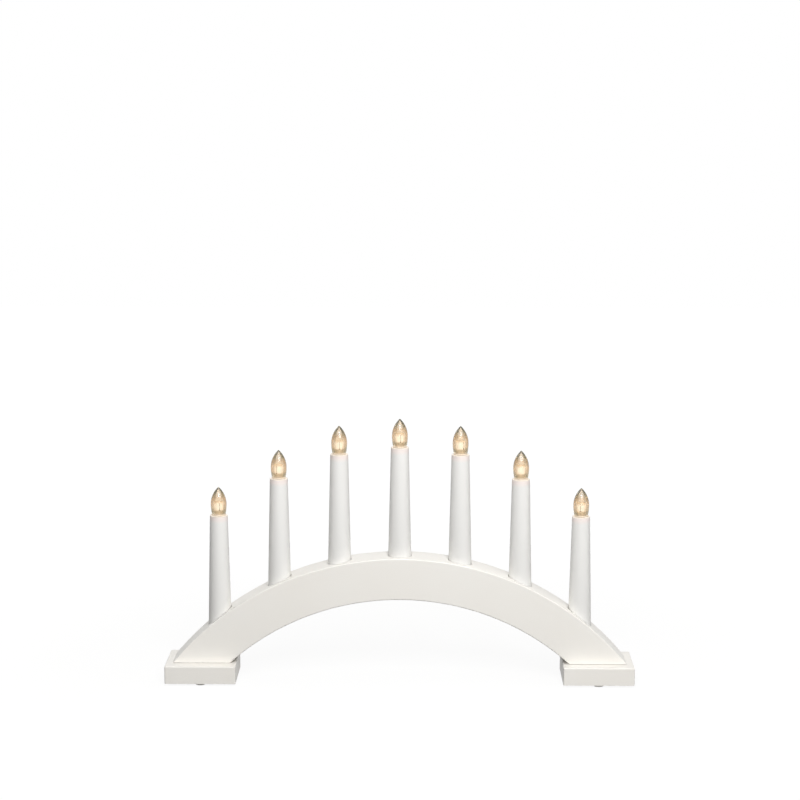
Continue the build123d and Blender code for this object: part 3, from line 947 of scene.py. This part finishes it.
routes = []
for place in range(len(seats) - 1):
    middle = (tilts[place] + tilts[place + 1]) / 2
    up = drop(place + 1, -1, -wire_spacing, 0)
    routes.append(drop(place, 1, wire_spacing, 0) + [upright_arc(wire_height, middle)] + up[::-1])
back = drop(0, -1, -wire_spacing / 2, wire_spacing)[:-1]
for step in range(1, return_steps):
    angle = tilts[0] + (outlet_angle - tilts[0]) * step / return_steps
    back.append(upright_arc(wire_height, angle, 0, wire_spacing))
routes.append(back + outlet_run(-1))
routes.append(drop(len(seats) - 1, 1, wire_spacing / 2, wire_spacing)[:-1] + outlet_run(1))
bundle = bpy.data.curves.new("bundle", "CURVE")
bundle.dimensions = "3D"
bundle.bevel_depth = wire_radius
bundle.bevel_resolution = 3
bundle.resolution_u = 8
bundle.use_fill_caps = True
for route in routes:
    spline = bundle.splines.new("NURBS")
    spline.points.add(len(route) - 1)
    for spot, point in zip(route, spline.points):
        point.co = (*spot, 1)
    spline.order_u = 3
    spline.use_endpoint_u = True
wires = smoothed(baked(standing(bundle)))
piece("series_wires", wires, "arch", ["lamp_wires"], wire_white)

keeper = smoothed(block(keeper_low, keeper_high, keeper_ease, 3))
keeper_places = []
for before, after in zip(tilts, tilts[1:]):
    for share in keeper_shares:
        angle = before + (after - before) * share
        keeper_places.append((upright_arc(arch_inner_radius, angle), (0, angle, 0)))
keepers = repeated(keeper, keeper_places, holder_white)
piece("wire_keeper_set", keepers, "arch", ["wire_keepers"])

back_face = board_thickness / 2
inner_end = back_face - bush_length
outer_face = back_face + bush_flange_thickness
bush = lathe(eased([
    (bush_bore_radius, inner_end, bush_bore_ease), (bush_radius, inner_end, bush_end_ease),
    (bush_radius, back_face, 0), (bush_flange_radius, back_face, fine_break),
    (bush_flange_radius, outer_face, bush_ease), (bush_bore_radius, outer_face, bush_ease)]),
    small_sides, ring=True)
bush = placed(smoothed(bush), outlet_place)
piece("outlet_bush", bush, "arch", ["cord_bush"], holder_white)


# Lamps

def hood_shape():
    """A pointed flame-shaped hood with a blind bore that grips the light guide."""
    tip = hood_height - hood_tip_radius * hood_tip_start
    rise = tip - hood_widest_height
    narrowing = hood_radius - hood_tip_radius
    flank = (narrowing**2 + rise**2) / (2 * narrowing)
    sweep = asin(rise / flank)
    low = lamp_base_top - hood_sink
    bore = guide_radius - hood_bore_inset
    bore_top = lamp_base_top + guide_height - hood_bore_inset
    outline = [(0, bore_top), (bore - guide_ease, bore_top), (bore, bore_top - guide_ease), (bore, low)]
    for n in range(hood_skirt_rings):
        share = n / hood_skirt_rings
        height = hood_widest_height * share
        radius = hood_radius - (hood_radius - lamp_base_radius) * (1 - share) ** 2
        outline.append((radius, lamp_base_top + height if n else low))
    for n in range(hood_rings + 1):
        angle = sweep * n / hood_rings
        height = hood_widest_height + flank * sin(angle)
        outline.append((hood_radius - flank * (1 - cos(angle)), lamp_base_top + height))
    # One small ring blunts the point
    outline.append((
        hood_tip_radius * hood_tip_ring, lamp_base_top + hood_height - hood_tip_radius * hood_tip_ring_drop))
    outline.append((0, lamp_base_top + hood_height))
    return lathe(outline)


def guide_shape():
    """The lamp's round base with the guide on it, split down the middle over a round hole."""
    top = lamp_base_top + guide_height
    body = lathe(eased([
        (0, cap_top, 0), (lamp_base_radius, cap_top, edge_break),
        (lamp_base_radius, lamp_base_top, edge_break), (guide_radius, lamp_base_top, 0),
        (guide_radius, top, guide_ease), (0, top, 0)]))
    cutters = []
    split_low = lamp_base_top + split_foot
    for side in (-1, 1):
        inner, outer = sorted((side * (guide_radius - split_depth), side * (guide_radius + overrun)))
        cutters.append(block(
            Vector((-split_width / 2, inner, split_low)), Vector((split_width / 2, outer, top - guide_ease))))
        hole = drill(split_hole_radius, guide_radius - split_depth, guide_radius + overrun, split_hole_sides)
        aside = Matrix.Translation((0, 0, split_low)) @ Matrix.Rotation(-side * pi / 2, 4, "X")
        cutters.append(placed(hole, aside))
    body = cut(body, *cutters)
    body.materials.clear()
    body.materials.append(lit_guide)
    body.materials.append(dull_split)
    walls_from = lamp_base_top + 2 * split_margin
    for face in body.polygons:
        spot = face.center
        inside = hypot(spot.x, spot.y) < guide_radius - split_margin
        face.material_index = 1 if inside and walls_from < spot.z < top - guide_ease else 0
    return body


def foot_shape():
    """The insulating cone under the cap with a dome of solder at its point."""
    cone_bottom = cap_bottom - foot_cone_height
    dome_bottom = cone_bottom - foot_contact_height
    cone = lathe(eased([
        (0, cone_bottom, 0), (foot_contact_radius, cone_bottom, fine_break),
        (foot_cone_radius, cap_bottom, fine_break), (0, cap_bottom, 0)]), small_sides)
    dome = lathe(eased([
        (0, dome_bottom, 0), (foot_contact_radius, dome_bottom, foot_contact_ease),
        (foot_contact_radius, cone_bottom, 0), (0, cone_bottom, 0)]), small_sides)
    cone_faces = len(cone.polygons)
    both = joined(cone, dome)
    both.materials.append(black_phenolic)
    both.materials.append(tin_solder)
    for face in both.polygons:
        face.material_index = 0 if face.index < cone_faces else 1
    return both


cap = lathe(finely(eased([
    (0, cap_bottom, 0), (cap_radius, cap_bottom, cap_ease), (cap_radius, cap_top, cap_ease),
    (0, cap_top, 0)]), thread_ring_step))
cap = smoothed(grown(
    rolled_thread, cap, pitch=thread_pitch, depth=thread_depth, start=cap_thread[0], end=cap_thread[1],
    run_out=thread_run_out, least_radius=cap_core_radius, material=nickel_brass))
hood = noted(smoothed(hood_shape()), "rise", lambda spot: spot.z)
guide = noted(smoothed(guide_shape()), "rise", lambda spot: spot.z)
lamp_foot = smoothed(foot_shape())
for number, (rim, turn) in enumerate(zip(rims, split_turns), 1):
    here = Matrix.Translation(rim)
    turned = here @ Matrix.Rotation(radians(turn), 4, "Z")
    piece(
        f"lamp_{number}_foot", placed(lamp_foot, here), f"lamp_{number}_rise", [f"lamp_foot_{number}"])
    piece(
        f"lamp_{number}_cap", placed(cap, here), f"lamp_{number}", [f"lamp_cap_{number}"])
    piece(
        f"lamp_{number}_guide", placed(guide, turned), f"lamp_{number}", [f"light_guide_{number}"])
    piece(
        f"lamp_{number}_hood", placed(hood, here), f"lamp_{number}", [f"lamp_hood_{number}"],
        amber_hood)


# Studio

arch_middle = Vector((0, 0, 0.1))


def studio_light(name, place, width, height, power):
    """A soft box that faces the arch, with its sizes in metres and its power in watts."""
    data = bpy.data.lights.new(name, "AREA")
    data.shape = "RECTANGLE"
    data.size = width
    data.size_y = height
    data.energy = power
    light = bpy.data.objects.new(name, data)
    light.location = place
    light.rotation_mode = "QUATERNION"
    light.rotation_quaternion = (arch_middle - Vector(place)).to_track_quat("-Z", "Y")
    bpy.context.collection.objects.link(light)


for box in (
        ("key_box", (0.12, -1.2, 1.2), 0.8, 0.8, 21.6),
        ("top_box", (0.0, -0.1, 1.3), 0.8, 0.8, 2.7),
        ("low_front_box", (0.1, -1.3, 0.22), 0.9, 0.35, 2.8),
        ("right_box", (1.3, -0.5, 0.4), 0.8, 0.8, 3.8),
        ("back_left_box", (-0.9, 0.7, 0.9), 0.6, 0.6, 2.4),
        ("back_right_box", (0.6, 1.0, 1.1), 0.6, 0.6, 2.2)):
    studio_light(*box)


def background_seen(tree):
    """1 where the background is seen, straight, mirrored or through the hoods, and else 0."""
    rays = add(tree, "ShaderNodeLightPath").outputs
    seen = rays["Is Camera Ray"]
    for way in ("Is Glossy Ray", "Is Transmission Ray"):
        seen = add(tree, "ShaderNodeMath", {0: seen, 1: rays[way]}, operation="MAXIMUM").outputs[0]
    return seen


world = bpy.data.worlds.new("studio")
bpy.context.scene.world = world
world.use_nodes = True
sky = world.node_tree
sky.nodes.clear()
seen = background_seen(sky)
# White where it is seen, and a weak fill for the shadows
dim = add(sky, "ShaderNodeBackground", {"Color": hue("#FFFFFF"), "Strength": 0.12}).outputs[0]
bright = add(sky, "ShaderNodeBackground", {"Color": hue("#FFFFFF"), "Strength": 1.0}).outputs[0]
mixed = add(sky, "ShaderNodeMixShader", {0: seen, 1: dim, 2: bright}).outputs[0]
add(sky, "ShaderNodeOutputWorld", {"Surface": mixed})

floor_material, tree = new_material("studio_paper_white")
seen = background_seen(tree)
# The paper shows white with a soft shadow near the arch, and sends little light back up
tone = add(tree, "ShaderNodeMix", {
    0: seen, 6: hue("#6A6967"), 7: hue("#F4F3F1")}, data_type="RGBA").outputs[2]
paper = add(tree, "ShaderNodeBsdfDiffuse", {"Color": tone}).outputs[0]
shine = add(tree, "ShaderNodeEmission", {"Color": hue("#FFFFFF"), "Strength": 1.02}).outputs[0]
spot = add(tree, "ShaderNodeTexCoord").outputs["Object"]
away = add(tree, "ShaderNodeVectorMath", {0: spot}, operation="LENGTH").outputs["Value"]
share = add(tree, "ShaderNodeMapRange", {
    "Value": away, "From Min": 0.3, "From Max": 0.6, "To Min": 0.9, "To Max": 1.0}).outputs[0]
share = add(tree, "ShaderNodeMath", {0: seen, 1: share}, operation="MULTIPLY").outputs[0]
mixed = add(tree, "ShaderNodeMixShader", {0: share, 1: paper, 2: shine}).outputs[0]
add(tree, "ShaderNodeOutputMaterial", {"Surface": mixed})
floor_reach = 3.0
floor_corners = [(x * floor_reach, y * floor_reach, 0) for x, y in ((-1, -1), (1, -1), (1, 1), (-1, 1))]
floor_sheet = bpy.data.meshes.new("studio_floor")
floor_sheet.from_pydata(floor_corners, [], [(0, 1, 2, 3)])
floor_sheet.materials.append(floor_material)
floor = bpy.data.objects.new("studio_floor", floor_sheet)
bpy.context.collection.objects.link(floor)
floor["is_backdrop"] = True

# Camera, from the angle of the photograph
yaw, pitch, roll = radians(-0.605), radians(9.64), radians(0.062)
forward = Vector((sin(yaw) * cos(pitch), cos(yaw) * cos(pitch), -sin(pitch)))
right = forward.cross(Vector((0, 0, 1))).normalized()
above = right.cross(forward)
right, above = right * cos(roll) + above * sin(roll), above * cos(roll) - right * sin(roll)
lens = bpy.data.cameras.new("camera")
lens.lens = 94.67
lens.sensor_width = 36.0
camera = bpy.data.objects.new("camera", lens)
camera.rotation_mode = "QUATERNION"
camera.rotation_quaternion = Matrix((right, above, -forward)).transposed().to_quaternion()
camera.location = (0.0218, -2.0553, 0.6349)
bpy.context.collection.objects.link(camera)
bpy.context.scene.camera = camera
bpy.context.scene.view_settings.view_transform = "Standard"

low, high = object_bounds()
